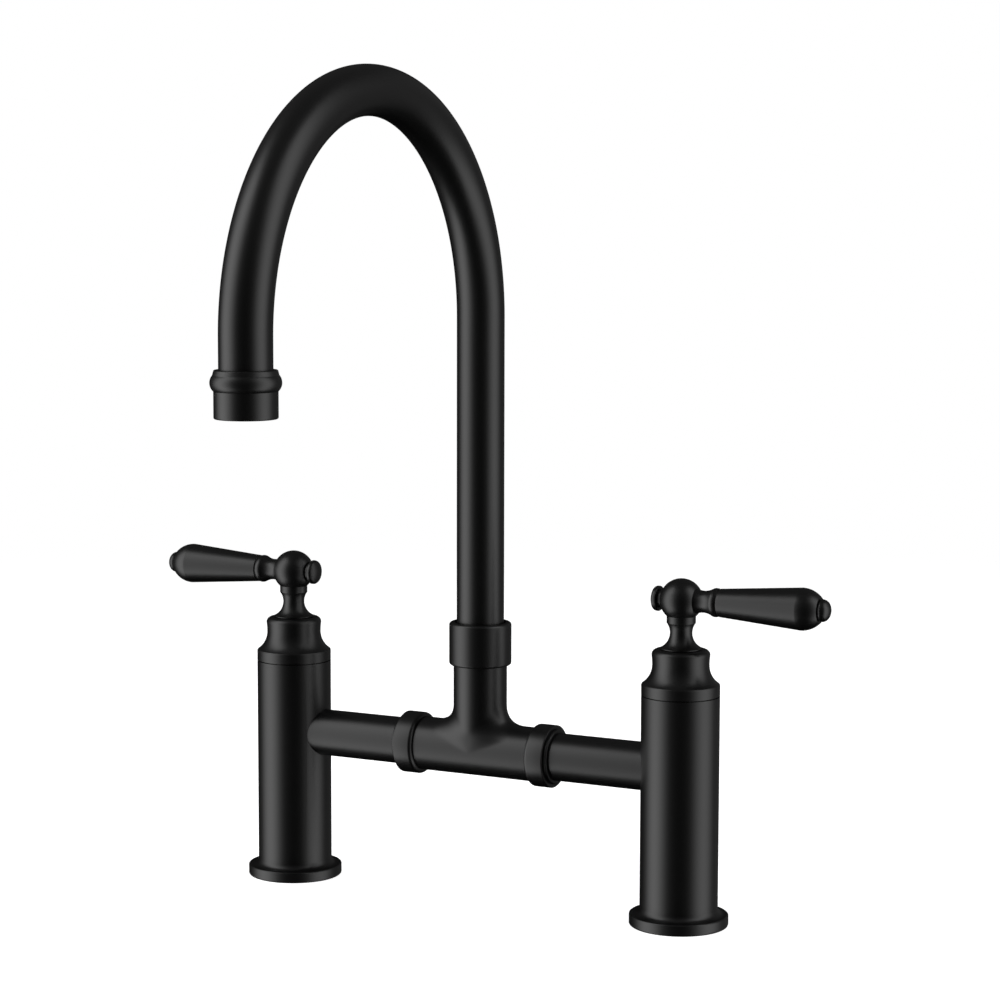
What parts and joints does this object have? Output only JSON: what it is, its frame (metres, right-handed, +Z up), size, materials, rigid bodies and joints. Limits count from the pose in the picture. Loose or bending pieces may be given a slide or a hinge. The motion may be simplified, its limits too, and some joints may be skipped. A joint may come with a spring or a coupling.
{
  "type": "bridge kitchen faucet",
  "caption": "Deck-mounted bridge kitchen faucet: pillars joined by a bridge with coupling rings, lever handles on quarter-turn valves, and a swivelling swan-neck spout.",
  "frame": {"origin": "on the deck, midway between the pillars' axes, at the level of the flanges' undersides", "axes": "+X from the left pillar to the right pillar, +Y towards the wall behind, away from the outlet, +Z up"},
  "size_m": [0.3442, 0.2378, 0.3837],
  "materials": {
    "matt_black_coating": "satin matt powder coat on brass",
    "bare_brass": "machined",
    "stainless_steel": "drawn",
    "sealing_rubber": "moulded",
    "valve_ceramic": "lapped alumina ceramic",
    "bearing_plastic": "moulded acetal",
    "aerator_plastic": "moulded acetal"
  },
  "bodies": {
    "bridge_body": {"tee": "matt_black_coating", "swivel_collar": "matt_black_coating", "spout_glide_bush": "bearing_plastic", "spout_thrust_washer": "bearing_plastic", "left_pillar": "matt_black_coating", "left_base_gasket": "sealing_rubber", "left_bonnet": "matt_black_coating", "left_bonnet_glide_ring": "bearing_plastic", "left_valve_seat_washer": "sealing_rubber", "left_valve_fixed_disc": "valve_ceramic", "left_valve_body": "bare_brass", "left_valve_o_ring": "sealing_rubber", "left_arm_tube": "matt_black_coating", "left_coupling_washer": "sealing_rubber", "left_coupling_nut": "matt_black_coating", "right_pillar": "matt_black_coating", "right_base_gasket": "sealing_rubber", "right_bonnet": "matt_black_coating", "right_bonnet_glide_ring": "bearing_plastic", "right_valve_seat_washer": "sealing_rubber", "right_valve_fixed_disc": "valve_ceramic", "right_valve_body": "bare_brass", "right_valve_o_ring": "sealing_rubber", "right_arm_tube": "matt_black_coating", "right_coupling_washer": "sealing_rubber", "right_coupling_nut": "matt_black_coating"},
    "spout": {"spout_tube": "matt_black_coating", "spout_shank": "bare_brass", "spout_shank_o_rings": "sealing_rubber", "aerator_housing": "matt_black_coating", "aerator_washer": "sealing_rubber", "aerator_insert": "aerator_plastic", "aerator_screen": "stainless_steel"},
    "left_handle": {"left_valve_moving_disc": "valve_ceramic", "left_valve_spindle": "bare_brass", "left_valve_spindle_o_rings": "sealing_rubber", "left_valve_circlip": "stainless_steel", "left_handle_hub": "matt_black_coating", "left_handle_grub_screw": "stainless_steel", "left_handle_finial": "matt_black_coating", "left_lever_ferrule": "matt_black_coating", "left_lever_grip": "matt_black_coating", "left_lever_rod": "stainless_steel", "left_lever_end_cap": "matt_black_coating"},
    "right_handle": {"right_valve_moving_disc": "valve_ceramic", "right_valve_spindle": "bare_brass", "right_valve_spindle_o_rings": "sealing_rubber", "right_valve_circlip": "stainless_steel", "right_handle_hub": "matt_black_coating", "right_handle_grub_screw": "stainless_steel", "right_handle_finial": "matt_black_coating", "right_lever_ferrule": "matt_black_coating", "right_lever_grip": "matt_black_coating", "right_lever_rod": "stainless_steel", "right_lever_end_cap": "matt_black_coating"}
  },
  "joints": [
    {"name": "spout_swivel", "type": "hinge", "parent": "bridge_body", "child": "spout", "pos_m": [0, 0, 0.12], "axis": [0, 0, 1], "continuous": true},
    {"name": "left_handle_turn", "type": "hinge", "parent": "bridge_body", "child": "left_handle", "pos_m": [-0.1015, 0, 0.126], "axis": [0, 0, 1], "range_deg": [0, 90]},
    {"name": "right_handle_turn", "type": "hinge", "parent": "bridge_body", "child": "right_handle", "pos_m": [0.1015, 0, 0.126], "axis": [0, 0, 1], "range_deg": [-90, 0]}
  ]
}
